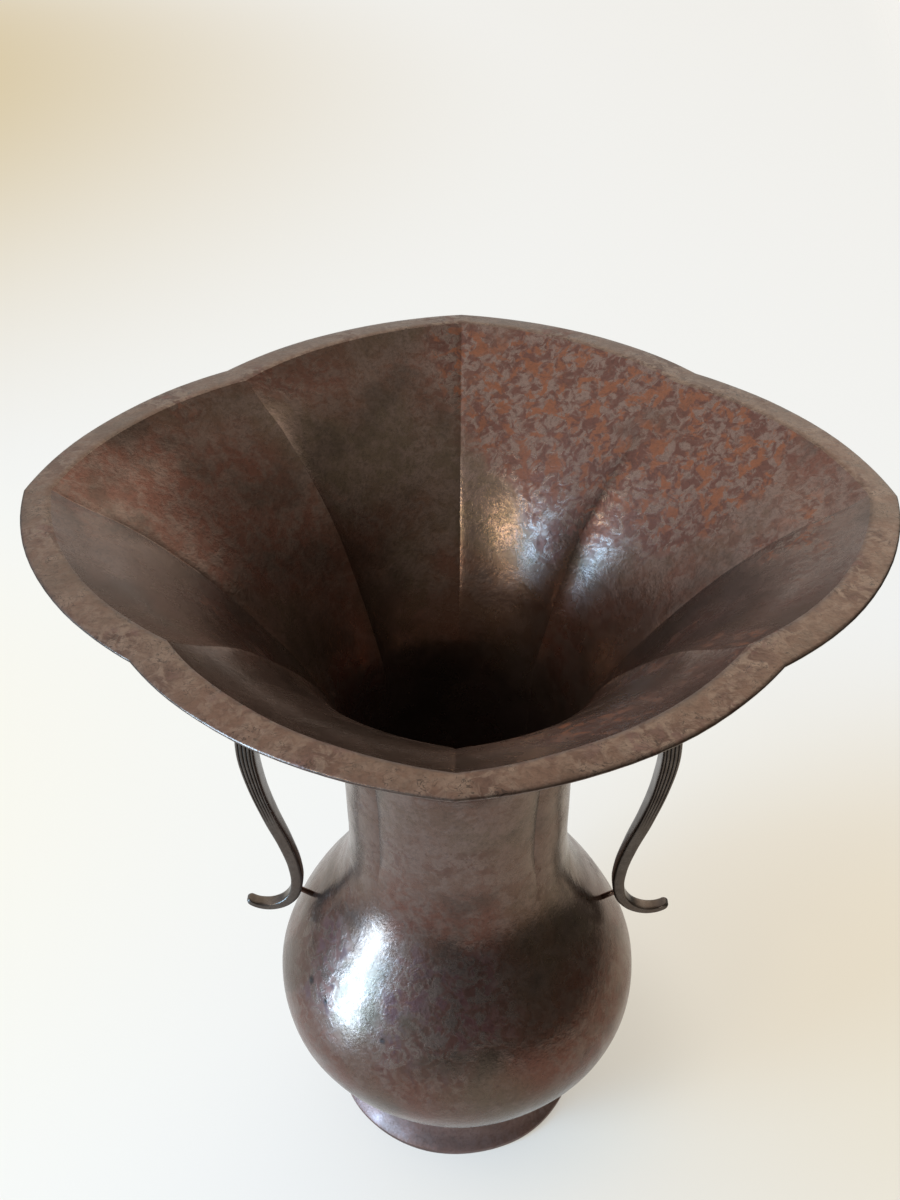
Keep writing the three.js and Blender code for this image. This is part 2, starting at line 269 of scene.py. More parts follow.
def creases_at(z):
    """Ridge height and valley depth at a height: none at the lip, and none below the neck."""
    depth = HEIGHT - z
    ridge = RIDGE_HEIGHT * smoothstep(depth, *RIDGE_START) * smoothstep(z, *RIDGE_END)
    valley = VALLEY_DEPTH * smoothstep(depth, *VALLEY_START) * smoothstep(z, *VALLEY_END)
    return ridge, valley


def wall(name, inside, outside):
    """A closed wall between matching inner and outer profiles of tip radius and height."""
    rings = []
    for profile in (inside, outside[::-1]):
        levels = inside if profile is inside else inside[::-1]
        for (radius, z), (_, level) in zip(profile, levels):
            share, bulge = petals_at(level)
            rings.append(petal_ring(radius, radius * share, bulge, z, *creases_at(level)))
    verts, faces = loft(rings, capped=False)
    return new_object(name, beaten(verts), faces)


def round_ring(radius, z):
    return petal_ring(radius, radius, CIRCLE_BULGE, z)


# Profile of the whole vase, along a petal's point, from the lip down to the end of the bowl
flare_tip = (MOUTH_RADIUS - LIP_TIP_WIDTH, HEIGHT - FOLD)
neck_head = (NECK_RADIUS + NECK_SPREAD, NECK_TOP)
neck_foot = (NECK_RADIUS, NECK_BOTTOM)
flare_points = between(neck_head, flare_tip, [
    (1, 1),
    (0.881, 0.925),
    (0.767, 0.866),
    (0.544, 0.702),
    (0.254, 0.4),
    (0.091, 0.18),
    (0, 0),
])
neck_points = between(neck_foot, neck_head, [(0.2, 0.7), (0.02, 0.35), (0, 0.12)])
body_outside = between((NECK_RADIUS + WALL, NECK_BOTTOM), (BELLY_RADIUS, BELLY_HEIGHT), [
    (0.023, 0),
    (0.078, 0.098),
    (0.162, 0.197),
    (0.262, 0.279),
    (0.409, 0.377),
    (0.566, 0.484),
    (0.701, 0.59),
    (0.8185, 0.697),
    (0.917, 0.803),
    (0.978, 0.902),
    (1, 1),
])
bowl_end = math.acos(BOWL_END_RADIUS / BELLY_RADIUS)
for share in (0.25, 0.5, 0.75, 1):
    angle = share * bowl_end
    body_outside.append((BELLY_RADIUS * math.cos(angle), BELLY_HEIGHT - BOWL_DEPTH * math.sin(angle)))
body_inside = offset(smooth_curve(body_outside, BODY_STEPS + 1), -WALL)[::BODY_STRIDE]
inside = smooth_curve(flare_points + neck_points + [tuple(p) for p in body_inside], PROFILE_POINTS)
outside = offset(inside, WALL)


def stretch(top, bottom, levels):
    """The inner and outer profiles between two heights, at even steps and close to each end."""
    index = np.arange(len(inside))
    first, last = np.interp([-top, -bottom], -inside[:, 1], index)
    share = np.sort(np.append(np.linspace(0, 1, levels + 1), [SEAM_RING, 1 - SEAM_RING]))
    at = first + share * (last - first)
    return [
        np.column_stack([np.interp(at, index, side[:, i]) for i in range(2)])
        for side in (inside, outside)
    ]


flare = wall("flare_sheet", *stretch(HEIGHT, NECK_TOP, levels=64))
neck = wall("neck_sheet", *stretch(NECK_TOP, NECK_BOTTOM, levels=36))
shoulder = wall("shoulder_sheet", *stretch(NECK_BOTTOM, BELLY_HEIGHT, levels=40))
bowl = wall("bowl_sheet", *stretch(BELLY_HEIGHT, 0, levels=34))


def lip_band():
    """The flat lip: a rounded outer edge, a face that rises a little inwards, and a soft fold at the flare.

    A point of its section is a share of the lip's width, inwards from the edge, and a height from the top.
    """
    thick = LIP_THICKNESS
    section = [
        (0.0, -LIP_FALL - 0.5 * thick),
        (0.012, -LIP_FALL - 0.22 * thick),
        (0.045, -LIP_FALL - 0.05 * thick),
        (0.1, -LIP_FALL * 0.9),
        (0.3, -LIP_FALL * 0.6),
        (0.5, -LIP_FALL * 0.3),
        (0.7, -LIP_FALL * 0.06),
        (0.8, 0.0),
        (0.88, -0.12 * FOLD),
        (0.94, -0.42 * FOLD),
        (1.0, -FOLD),
        (0.92, -thick),
        (0.6, -thick - LIP_FALL * 0.5),
        (0.1, -thick - LIP_FALL * 0.9),
        (0.04, -thick - LIP_FALL * 0.9 + 0.05 * thick),
        (0.01, -LIP_FALL - 0.75 * thick),
    ]
    tip, notch = MOUTH_RADIUS, MOUTH_RADIUS * MOUTH_NOTCH_SHARE
    rings = [
        petal_ring(tip - share * LIP_TIP_WIDTH, notch - share * LIP_NOTCH_WIDTH, PETAL_BULGE, HEIGHT + rise)
        for share, rise in section
    ]
    verts, faces = loft(rings, capped=False)
    return new_object("lip_band", beaten(verts), faces)


lip = lip_band()


def bowl_height(radius):
    """Height of the bowl's outside at a radius."""
    return BELLY_HEIGHT - BOWL_DEPTH * math.sqrt(1 - (radius / BELLY_RADIUS) ** 2)


def foot_band():
    """The conical foot: it sweeps in from a rounded edge on the table to the bowl."""
    def sweep(inset):
        start = np.array([FOOT_RADIUS - inset, FOOT_EDGE])
        middle = np.array([FOOT_SWEEP_RADIUS - inset, FOOT_SWEEP_HEIGHT])
        waist = FOOT_WAIST_RADIUS - inset
        end = np.array([waist, bowl_height(waist)])
        shares = np.linspace(0, 1, 24)
        return [(1 - t) ** 2 * start + 2 * t * (1 - t) * middle + t * t * end for t in shares]

    edge = 0.0005
    profile = [
        (FOOT_RADIUS - edge, 0.0),
        (FOOT_RADIUS - 0.3 * edge, 0.3 * edge),
        (FOOT_RADIUS, edge),
        *sweep(0),
        *sweep(FOOT_WALL)[::-1],
        (FOOT_RADIUS - FOOT_WALL, edge),
        (FOOT_RADIUS - FOOT_WALL + 0.3 * edge, 0.3 * edge),
        (FOOT_RADIUS - FOOT_WALL + edge, 0.0),
    ]
    verts, faces = loft([round_ring(radius, z) for radius, z in profile], capped=False)
    return new_object("foot_band", beaten(verts), faces)


foot = foot_band()


def bottom_disc():
    """The disc in the bowl's bottom, a little dished, with a rounded edge."""
    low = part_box("base_plate")[0].z
    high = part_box("base_plate")[1].z
    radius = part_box("base_plate")[1].y
    dish = 0.0006

    def dished(z, depth, shares):
        return [(radius * share, z + depth * (1 - share**2)) for share in shares]

    under = [(radius - (high - low), low)] + dished(low, dish, (0.85, 0.65, 0.45, 0.25, 0.08))
    over = [(radius, high)] + dished(high, dish * 0.5, (0.85, 0.5, 0.08))
    rings = [round_ring(r, z) for r, z in under[::-1] + over]
    verts, faces = loft(rings, capped=True)
    return new_object("bottom_disc", verts, faces)


disc = bottom_disc()


# Handles

SCROLL_POINTS = 181
SCROLL_IN_WALL = 0.0004  # the scroll's line begins this far inside the flare's sheet
BOW = (  # shares of the bow's reach outwards, and of the way up from the bend to the flare
    (0.59, 0.88), (0.9, 0.77), (1, 0.65), (0.85, 0.49),
    (0.53, 0.34), (0.2, 0.22), (-0.02, 0.11), (-0.05, 0.04),
)
CURL = (  # shares of the curl's reach outwards, and of its drop under the bend
    (0.07, 0.34), (0.3, 0.82), (0.59, 1), (0.84, 0.9), (1, 0.66),
)
GIRTH = np.array([  # thickness and width at even steps along the scroll, written in millimetres
    (7.2, 9.8), (7.0, 9.9), (6.5, 9.8), (4.9, 7.6), (4.6, 5.4), (4.3, 5.0), (1.8, 4.5),
]) * 0.001
GIRTH_SMOOTHING = 7  # the girth is averaged over this many points on each side
REEDS = 5
REED_DEPTH = 0.0005
REED_FADE = (0.42, 0.62)  # shares of the scroll's length between which the reeds end
TAPER = 0.35  # the end loses this share of its girth
TAPER_START = 0.992
ROUNDNESS = 6  # power of the rounded rectangle that the section follows
FACE_STEPS = 41
FACE_SHARE = 0.97  # the reeded faces' points take this share of the thickness
SIDE_SHARE = 0.62  # the smooth sides' points take this share of the width
SIDE_CROWN = 0.8

top_index = nearest(inside, NECK_TOP + HANDLE_TOP_RISE)
flare_face = outside[top_index]
flare_outward = outward_at(inside, top_index)
bend_index = nearest(outside, BELLY_HEIGHT + BEND_RISE)
shoulder_face = outside[bend_index]
shoulder_outward = outward_at(outside, bend_index)
bend = shoulder_face + BEND_STAND_OFF * shoulder_outward
scroll_line = smooth_curve([
    tuple(flare_face - SCROLL_IN_WALL * flare_outward),
    tuple(flare_face + HANDLE_ROOT * flare_outward),
    *[(bend[0] + out * BOW_REACH, lerp(bend[1], flare_face[1], up)) for out, up in BOW],
    *[(bend[0] + out * CURL_REACH, bend[1] - down * CURL_DROP) for out, down in CURL],
], SCROLL_POINTS)


def crown(share):
    """Height of a rounded rectangle, as a share, at a share of the way from its middle to its side."""
    return (1 - abs(share) ** ROUNDNESS) ** (1 / ROUNDNESS)


def section_outline(thickness, width, reed):
    """Points round the bar's section: each reeded face in turn, and after it a smooth side."""
    points = []
    for side in (1, -1):
        for t in np.linspace(0, 1, FACE_STEPS):
            u = side * lerp(-1, 1, t) * FACE_SHARE
            groove = 1 - math.sqrt(abs(math.sin(math.pi * REEDS * (u / FACE_SHARE + 1) / 2)))
            inset = reed * groove * (1 - abs(u) ** (2 * ROUNDNESS))
            points.append((u * thickness / 2, side * (crown(u) * width / 2 - inset)))
        for t in (0.15, 0.3, 0.5, 0.7, 0.85):
            v = side * lerp(1, -1, t)
            points.append((side * crown(v * SIDE_CROWN) * thickness / 2, v * SIDE_SHARE * width / 2))
    return np.array(points)


def girth_along(share, column):
    """Thickness or width along the scroll, averaged so that it changes without a kink."""
    girth = np.interp(share, np.linspace(0, 1, len(GIRTH)), GIRTH[:, column])
    count = 2 * GIRTH_SMOOTHING + 1
    return np.convolve(np.pad(girth, GIRTH_SMOOTHING, mode="edge"), np.ones(count) / count, mode="valid")


def scroll(name, turn):
    """A reeded bar swept along the scroll's line. Turn is 1 for the right and -1 for the left."""
    along = tangents(scroll_line)
    share = np.linspace(0, 1, len(scroll_line))
    thickness = girth_along(share, 0)
    width = girth_along(share, 1)
    rings = []
    for i, centre in enumerate(scroll_line):
        reed = REED_DEPTH * (1 - smoothstep(share[i], *REED_FADE))
        near_end = 1 - TAPER * smoothstep(share[i], TAPER_START, 1.0)
        outline = section_outline(thickness[i] * near_end, width[i] * near_end, reed)
        normal = np.array([-along[i, 1], along[i, 0]])
        plane = centre + outline[:, :1] * normal
        rings.append(np.column_stack([turn * plane[:, 0], turn * outline[:, 1], plane[:, 1]]))
    verts, faces = loft(rings, capped=True)
    return new_object(name, verts, faces)


def pin(name, start, end, turn):
    """A round pin with softened ends, between two points of the scroll's plane."""
    length = np.linalg.norm(end - start)
    along = (end - start) / length
    across = np.array([-along[1], along[0]])
    angles = np.linspace(0, 2 * math.pi, 32, endpoint=False)
    edge = 0.0003
    rings = []
    for at, radius in (
        (0, PIN_RADIUS - edge),
        (0.4 * edge, PIN_RADIUS - 0.3 * edge),
        (edge, PIN_RADIUS),
        (length - edge, PIN_RADIUS),
        (length - 0.4 * edge, PIN_RADIUS - 0.3 * edge),
        (length, PIN_RADIUS - edge),
    ):
        plane = start + at * along + radius * np.cos(angles)[:, None] * across
        rings.append(np.column_stack([turn * plane[:, 0], turn * radius * np.sin(angles), plane[:, 1]]))
    verts, faces = loft(rings, capped=True)
    return new_object(name, verts, faces)


scrolls = []
pins = []
for side, turn in (("right", 1), ("left", -1)):
    bar = scroll(side + "_scroll", turn)
    in_flare = flare_face - PIN_IN_WALL * flare_outward
    in_shoulder = shoulder_face - PIN_IN_WALL * shoulder_outward
    top = pin(side + "_top_pin", in_flare, flare_face + TOP_PIN_REACH * flare_outward, turn)
    low = pin(side + "_bend_pin", in_shoulder, bend, turn)
    for piece, node in ((bar, "_handle"), (top, "_handle_top_pin"), (low, "_handle_foot_pin")):
        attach(piece, "root")
        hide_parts(side + node)
    scrolls.append(bar)
    pins += [top, low]

for piece, node, slot in (
    (lip, "mouth_lip", "lip_copper"),
    (flare, "mouth_flare", "mottled_copper"),
    (neck, "neck", "mottled_copper"),
    (shoulder, "shoulder", "mottled_copper"),
    (bowl, "lower_bowl", "mottled_copper"),
    (foot, "foot_ring", "foot_copper"),
    (disc, "base_plate", "foot_copper"),
):
    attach(piece, "root")
    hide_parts(node)


# Materials

class Tree:
    """Short calls that add nodes to the tree of a material or world, with values or sockets as inputs."""

    def __init__(self, material):
        material.use_nodes = True
        self.tree = material.node_tree
        self.tree.nodes.clear()

    def node(self, kind, inputs=None, **settings):
        made = self.tree.nodes.new(kind)
        for key, value in settings.items():
            setattr(made, key, value)
        for key, value in (inputs or {}).items():
            socket = made.inputs[key]
            if isinstance(value, bpy.types.NodeSocket):
                self.tree.links.new(value, socket)
            else:
                socket.default_value = value
        return made

    def math(self, operation, a, b=0.0):
        return self.node("ShaderNodeMath", {0: a, 1: b}, operation=operation).outputs[0]

    def add(self, a, b):
        return self.math("ADD", a, b)

    def times(self, a, b):
        return self.math("MULTIPLY", a, b)

    def most(self, a, b):
        return self.math("MAXIMUM", a, b)

    def vectors(self, operation, a, b):
        """A number from two vectors, such as their distance."""
        return self.node("ShaderNodeVectorMath", {0: a, 1: b}, operation=operation).outputs["Value"]

    def place(self):
        return self.node("ShaderNodeTexCoord").outputs["Object"]

    def noise(self, where, scale, detail, roughness=0.5, distortion=0.0):
        inputs = {"Scale": scale, "Detail": detail, "Roughness": roughness, "Distortion": distortion}
        return self.node("ShaderNodeTexNoise", {"Vector": where, **inputs}).outputs[0]

    def step(self, value, low, high, to_low=0.0, to_high=1.0):
        inputs = {"Value": value, "From Min": low, "From Max": high, "To Min": to_low, "To Max": to_high}
        return self.node("ShaderNodeMapRange", inputs, interpolation_type="SMOOTHSTEP").outputs[0]

    def mix(self, factor, a, b):
        return self.node("ShaderNodeMix", {0: factor, 6: a, 7: b}, data_type="RGBA").outputs[2]


def colour(r, g, b):
    return (r, g, b, 1.0)


WORN_ZONES = (  # centre, inner and outer radius of an area of broken film, and how much it adds to the wear
    ((0.062, 0.07, 0.255), 0.042, 0.066, 0.22),
    ((0.018, 0.092, 0.253), 0.02, 0.042, 0.13),
    ((0.085, 0.01, 0.25), 0.02, 0.06, 0.08),
    ((0.045, -0.075, 0.245), 0.02, 0.05, 0.1),
    ((-0.051, -0.027, 0.086), 0.01, 0.024, 0.24),
    ((-0.037, -0.042, 0.09), 0.006, 0.016, -0.14),
    ((-0.006, -0.055, 0.088), 0.016, 0.036, 0.18),
)
GREY_ZONES = (  # the same, for areas where the film is thick and grey, or where it is thin (negative)
    ((0, 0, 0.15), 0.034, 0.05, 0.55),
    ((-0.1, -0.025, 0.256), 0.012, 0.04, 0.8),
    ((0.1, -0.015, 0.253), 0.012, 0.04, 0.9),
    ((-0.015, -0.088, 0.242), 0.035, 0.06, 0.8),
    ((0, -0.065, 0.055), 0.025, 0.05, -0.5),
)
PIT_AND_SHADE_ZONES = (  # the same, for four dark pits in the belly, and for painted shade on the top of the shoulder's front
    ((-0.0513, -0.0302, 0.0802), 0.0006, 0.0024, 0.9),
    ((-0.0455, -0.039, 0.0795), 0.0004, 0.0018, 0.8),
    ((-0.0535, -0.0245, 0.085), 0.0004, 0.002, 0.7),
    ((-0.0248, -0.0544, 0.079), 0.0004, 0.0017, 0.7),
    # painted shade on the top of the shoulder's front, under the neck
    ((0, -0.042, 0.113), 0.008, 0.03, 0.2),
)

# Noises of the patina: scale per metre, detail, roughness and distortion
DRIFT = (22, 2)
PATCHES = (34, 4, 0.62, 0.3)
CLOUDS = (120, 4, 0.6, 0.5)
FLECKS = (260, 4, 0.65, 0.8)
CHIPS = (200, 4, 0.62, 0.6)
CURLS = (290, 2, 0.5, 1.6)
GRAIN = (850, 3, 0.6, 0.4)
SHIFT = (3, 5, 7)  # keeps the patches, chips and curls out of step with the other noises

# Levels of a noise between which a feature of the patina sets in
WORN_LEVELS = (0.52, 0.7)
MOTTLE_LEVELS = (0.42, 0.6)
GROUND_LEVELS = (0.35, 0.65)
STAIN_LEVELS = (0.36, 0.5)
FILM_LEVELS = (0.42, 0.58)
FLAKE_LEVELS = (0.56, 0.65)
CRACK_LEVELS = (0.44, 0.6)
CRACK_WIDTHS = (0.006, 0.03)
GRAIN_LEVELS = (0.42, 0.75)
ROUGHNESS_LEVELS = (0.35, 0.65)
PATCH_CONTRAST = 0.75  # the patches keep this share of their contrast where they set the wear
FLAKE_GROWTH = 0.06  # added to the chips' level where the film is worn

# Heights between which the tone goes over from the body's to the petals'
THROAT_RISE = (0.174, 0.215)  # on the inner face, from painted shade below to the flare's brown above
FLAKE_RISE = (0.2, 0.245)
PETAL_RISE = (0.18, 0.21)
INNER_FACE = (-0.012, -0.004)  # the normal's part away from the axis, times the distance from the axis

# Dark tones, and how much of the darkest shows: painted shade on inner faces below the flare, on the
# petals, in the grain
STAIN = colour(0.055, 0.037, 0.026)
# The darkest tone: cracks, grain specks and pits, and painted shade below the flare and on the shoulder's
# front
SOOT_AND_SHADE = colour(0.02, 0.014, 0.011)
THROAT_SHADE_LEVEL = 0.2
PETAL_DARKNESS = 0.15
GRAIN_DARKNESS = 0.3

# How metallic the film and the flakes are, and what bare metal, flakes and clouds add to the roughness
FILM_METAL = 0.82
FLAKE_METAL = 0.55
BARE_ROUGHNESS = 0.12
FLAKE_ROUGHNESS = 0.14
CLOUD_ROUGHNESS = 0.03

# Depth of each noise in the relief, in metres
GRAIN_RELIEF = 0.00007
CLOUD_RELIEF = 0.00012
FILM_RELIEF = 0.000014
CHIP_RELIEF = 0.00006
FLECK_RELIEF = 0.00012


def zone_levels(tree, place, level, zones):
    """Adds each zone's amount to a level, fading between its inner and outer radius."""
    for centre, inner, outer, amount in zones:
        away = tree.vectors("DISTANCE", place, centre)
        level = tree.add(level, tree.step(away, inner, outer, amount, 0.0))
    return level


def patina(name, grounds, film, worn_ground, flakes, wear=0.0, mottle=0.5, cracks=0.3, relief=1.0,
           roughness=0.25, stain=0.0, zoned=False):
    """Old copper: satin brown, and worn areas where glossy grey flecks of film stand over matt red flakes.

    The flakes have two colours, one for the body below and one for the petals above. Faces turned to
    the axis below the flare get painted shade. A zoned patina has the worn, grey and dark zones and the
    darker petals; its dark zones hold pits and painted shade on the shoulder's front.
    """
    material = bpy.data.materials.new(name)
    tree = Tree(material)
    place = tree.place()
    shifted = tree.node("ShaderNodeMapping", {"Vector": place, "Location": SHIFT}).outputs[0]
    rise = tree.node("ShaderNodeSeparateXYZ", {0: place}).outputs[2]
    drift = tree.noise(place, *DRIFT)
    patches = tree.noise(shifted, *PATCHES)
    clouds = tree.noise(place, *CLOUDS)
    flecks = tree.noise(place, *FLECKS)
    chips = tree.noise(shifted, *CHIPS)
    curls = tree.noise(shifted, *CURLS)
    grain = tree.noise(place, *GRAIN)

    patchy = tree.add(tree.times(patches, PATCH_CONTRAST), (1 - PATCH_CONTRAST) / 2 + wear)
    worn = tree.step(zone_levels(tree, place, patchy, WORN_ZONES if zoned else ()), *WORN_LEVELS)

    speckle = tree.times(tree.add(clouds, flecks), 0.5)
    grey = tree.step(speckle, *MOTTLE_LEVELS, 0.0, mottle)
    grey = zone_levels(tree, place, grey, GREY_ZONES if zoned else ())
    satin = tree.mix(grey, tree.mix(tree.step(drift, *GROUND_LEVELS), *grounds), film)
    satin = tree.mix(tree.step(patches, *STAIN_LEVELS, stain, 0.0), satin, STAIN)

    film_amount = tree.step(flecks, *FILM_LEVELS)
    broken = tree.mix(film_amount, worn_ground, film)
    flake_amount = tree.step(tree.add(chips, tree.times(worn, FLAKE_GROWTH)), *FLAKE_LEVELS)
    flake_amount = tree.times(flake_amount, worn)
    broken = tree.mix(flake_amount, broken, tree.mix(tree.step(rise, *FLAKE_RISE), *flakes))
    tone = tree.mix(worn, satin, broken)

    line = tree.step(tree.math("ABSOLUTE", tree.math("SUBTRACT", curls, 0.5)), *CRACK_WIDTHS, 1.0, 0.0)
    cracked = tree.times(tree.times(line, tree.step(clouds, *CRACK_LEVELS)), cracks)
    dark = tree.most(cracked, tree.step(grain, *GRAIN_LEVELS, 0.0, GRAIN_DARKNESS))
    # Painted shade: faces turned towards the axis get darker below the flare, in the throat, inside the
    # body and on the inner sides of the handles and foot
    normal = tree.node("ShaderNodeTexCoord").outputs["Normal"]
    from_axis = tree.node("ShaderNodeVectorMath", {0: place, 1: (1, 1, 0)}, operation="MULTIPLY").outputs[0]
    inner_face = tree.step(tree.vectors("DOT_PRODUCT", normal, from_axis), *INNER_FACE, 1.0, 0.0)
    throat_shade = tree.times(inner_face, tree.step(rise, *THROAT_RISE, THROAT_SHADE_LEVEL, 0.0))
    dark = tree.most(dark, throat_shade)
    # Zoned: darker petals, and the pits and the painted shade of the dark zones
    if zoned:
        dark = tree.add(dark, tree.step(rise, *PETAL_RISE, 0.0, PETAL_DARKNESS))
        dark = zone_levels(tree, place, dark, PIT_AND_SHADE_ZONES)
    tone = tree.mix(dark, tone, SOOT_AND_SHADE)

    bare = tree.times(worn, tree.math("SUBTRACT", 1.0, film_amount))
    rough = tree.add(tree.times(bare, BARE_ROUGHNESS), tree.times(flake_amount, FLAKE_ROUGHNESS))
    cloudy = tree.step(clouds, *ROUGHNESS_LEVELS, roughness + CLOUD_ROUGHNESS, roughness - CLOUD_ROUGHNESS)
    height = tree.add(tree.times(grain, GRAIN_RELIEF * relief), tree.times(clouds, CLOUD_RELIEF * relief))
    height = tree.math("SUBTRACT", height, tree.times(bare, FILM_RELIEF * relief))
    rugged = tree.add(tree.times(chips, CHIP_RELIEF), tree.times(flecks, FLECK_RELIEF))
    height = tree.add(height, tree.times(tree.times(worn, rugged), relief))
    bump = tree.node("ShaderNodeBump", {"Strength": 1.0, "Distance": 1.0, "Height": height})
    shader = tree.node("ShaderNodeBsdfPrincipled", {
        "Base Color": tone,
        "Metallic": tree.step(flake_amount, 0.0, 1.0, FILM_METAL, FLAKE_METAL),
        "Roughness": tree.add(rough, cloudy),
        "Normal": bump.outputs[0],
    })
    tree.node("ShaderNodeOutputMaterial", {"Surface": shader.outputs[0]})
    return material


mottled = patina(
    "mottled_copper_patina",
    grounds=(colour(0.135, 0.055, 0.037), colour(0.113, 0.075, 0.05)),
    film=colour(0.165, 0.107, 0.084),
    worn_ground=colour(0.106, 0.045, 0.032),
    flakes=(colour(0.065, 0.02, 0.015), colour(0.185, 0.056, 0.02)),
    mottle=0.8, stain=0.5, zoned=True,
)
rubbed = patina(
    "lip_copper_patina",
    grounds=(colour(0.12, 0.067, 0.046), colour(0.12, 0.076, 0.055)),
    film=colour(0.155, 0.106, 0.08),
    worn_ground=colour(0.085, 0.047, 0.034),
    flakes=[colour(0.12, 0.052, 0.036)] * 2,
    wear=0.08, mottle=0.7, cracks=0.7, relief=1.3, roughness=0.3, stain=0.4,
)
foot_brown = patina(
    "foot_copper_patina",
    grounds=(colour(0.195, 0.107, 0.087), colour(0.187, 0.114, 0.095)),
    film=colour(0.22, 0.15, 0.136),
    worn_ground=colour(0.13, 0.07, 0.054),
    flakes=[colour(0.12, 0.05, 0.036)] * 2,
    stain=0.4, roughness=0.46,
)
black_brown = patina(
    "dark_copper_patina",
    grounds=(colour(0.098, 0.07, 0.054), colour(0.083, 0.065, 0.052)),
    film=colour(0.13, 0.106, 0.088),
    worn_ground=colour(0.068, 0.05, 0.04),
    flakes=[colour(0.09, 0.05, 0.036)] * 2,
    wear=-0.03, relief=0.5, roughness=0.28,
)
for material, pieces in (
    (rubbed, [lip]),
    (mottled, [flare, neck, shoulder, bowl, *pins]),
    (foot_brown, [foot, disc]),
    (black_brown, scrolls),
):
    for piece in pieces:
        piece.data.materials.append(material)


# Floor

def direction(azimuth, elevation):
    """The unit vector towards an azimuth and elevation in degrees."""
    a = math.radians(azimuth)
    e = math.radians(elevation)
    return Vector((math.cos(e) * math.cos(a), math.cos(e) * math.sin(a), math.sin(e)))


BACKDROP = colour(0.92, 0.9, 0.86)  # close to the floor as it renders, so that its edges can't be seen
FLOOR_TONE = colour(0.875, 0.86, 0.825)
FLOOR_REACH = 3.8
FLOOR_FRONT = -1.4
FLOOR_EDGES = (  # direction, and how far that way the floor begins and ends its fade
    (direction(-10, 0), 0.25, 0.36),
    (direction(-90, 0), 0.7, 1.3),
    (direction(-150, 0), 0.24, 0.34),
    (direction(90, 0), 2.6, 3.6),
)
FLOOR_TINTS_AND_SHADE = (  # centre, inner and outer radius, and colour, of a soft change of colour: painted shade, a painted shadow, a yellower patch
    # painted shade, darker and warmer, far back at the left
    ((-1.3, 1.3, 0), 0.45, 1.45, colour(0.67, 0.54, 0.32)),
    # painted shadow of the vase, to the right of its foot
    ((0.22, 0.02, 0), 0.02, 0.3, colour(0.83, 0.75, 0.61)),
    # a yellower patch left of the vase
    ((-0.42, 0.1, 0), 0.1, 0.42, colour(0.9, 0.845, 0.72)),
)
FLOOR_EVENNESS = 0.7  # the share of the floor's colour that stays free of shade
FOOT_EVENNESS = 0.5  # the same, close to the foot
FOOT_SHADE_CENTRE = (0.028, 0.005, 0)
FOOT_SHADE_RADII = (0.04, 0.085)


def floor_plane():
    """A pale floor, whose edges fade into a backdrop of the same colour."""
    near = [(-FLOOR_REACH, FLOOR_FRONT, 0), (FLOOR_REACH, FLOOR_FRONT, 0)]
    far = [(FLOOR_REACH, FLOOR_REACH, 0), (-FLOOR_REACH, FLOOR_REACH, 0)]
    floor = new_object("floor", near + far, [(0, 1, 2, 3)])
    material = bpy.data.materials.new("pale_floor")
    tree = Tree(material)
    place = tree.place()
    tone = FLOOR_TONE
    # Painted shade and a painted shadow are mixed into the floor's colour here
    for centre, inner, outer, tint in FLOOR_TINTS_AND_SHADE:
        tone = tree.mix(tree.step(tree.vectors("DISTANCE", place, centre), inner, outer), tint, tone)
    kept = 1.0
    for towards, start, end in FLOOR_EDGES:
        along = tree.vectors("DOT_PRODUCT", place, towards)
        kept = tree.times(tree.step(along, start, end, 1.0, 0.0), kept)
    shaded = tree.node("ShaderNodeBsdfDiffuse", {"Color": tone})
    even = tree.node("ShaderNodeEmission", {"Color": tone, "Strength": 1.0})
    ray = tree.node("ShaderNodeLightPath").outputs
    seen = tree.most(tree.most(ray["Is Camera Ray"], ray["Is Glossy Ray"]), ray["Is Transmission Ray"])
    from_foot = tree.vectors("DISTANCE", place, FOOT_SHADE_CENTRE)
    evenness = tree.step(from_foot, *FOOT_SHADE_RADII, FOOT_EVENNESS, FLOOR_EVENNESS)
    lit = tree.node("ShaderNodeMixShader", {
        0: tree.times(seen, evenness),
        1: shaded.outputs[0],
        2: even.outputs[0],
    })
    clear = tree.node("ShaderNodeBsdfTransparent")
    faded = tree.node("ShaderNodeMixShader", {0: kept, 1: clear.outputs[0], 2: lit.outputs[0]})
    tree.node("ShaderNodeOutputMaterial", {"Surface": faded.outputs[0]})
    floor.data.materials.append(material)
    return floor


floor_plane()


# Light

def power(radiance, size):
    """Power of a panel that glows with a radiance."""
    return radiance * math.pi * math.prod(size)


AIM = Vector((0, 0, 0.06))
WINDOW_SIZE = (0.5, 0.46)
UPPER_SIZE = (0.44, 0.5)
PANELS = (  # name, azimuth and elevation, distance, size, colour and power
    ("window", -157, -0.5, 1.5, WINDOW_SIZE, (0.38, 0.67, 1.0), power(36, WINDOW_SIZE)),
    ("upper_window", -154, 19, 1.5, UPPER_SIZE, (0.26, 0.58, 1.0), power(40, UPPER_SIZE)),
    ("warm_lamp", -140, 39, 1.6, (0.3, 0.1), (1.0, 0.88, 0.62), 3.0),
)


def panel(name, azimuth, elevation, distance, size, tint, energy):
    """A soft light that faces the vase from a direction."""
    data = bpy.data.lights.new(name, "AREA")
    data.shape = "RECTANGLE"
    data.size, data.size_y = size
    data.color = tint
    data.energy = energy
    light = bpy.data.objects.new(name, data)
    bpy.context.scene.collection.objects.link(light)
    towards = direction(azimuth, elevation)
    light.location = AIM + distance * towards
    light.rotation_euler = (-towards).to_track_quat("-Z", "Y").to_euler()
    light.visible_camera = False


for settings in PANELS:
    panel(*settings)

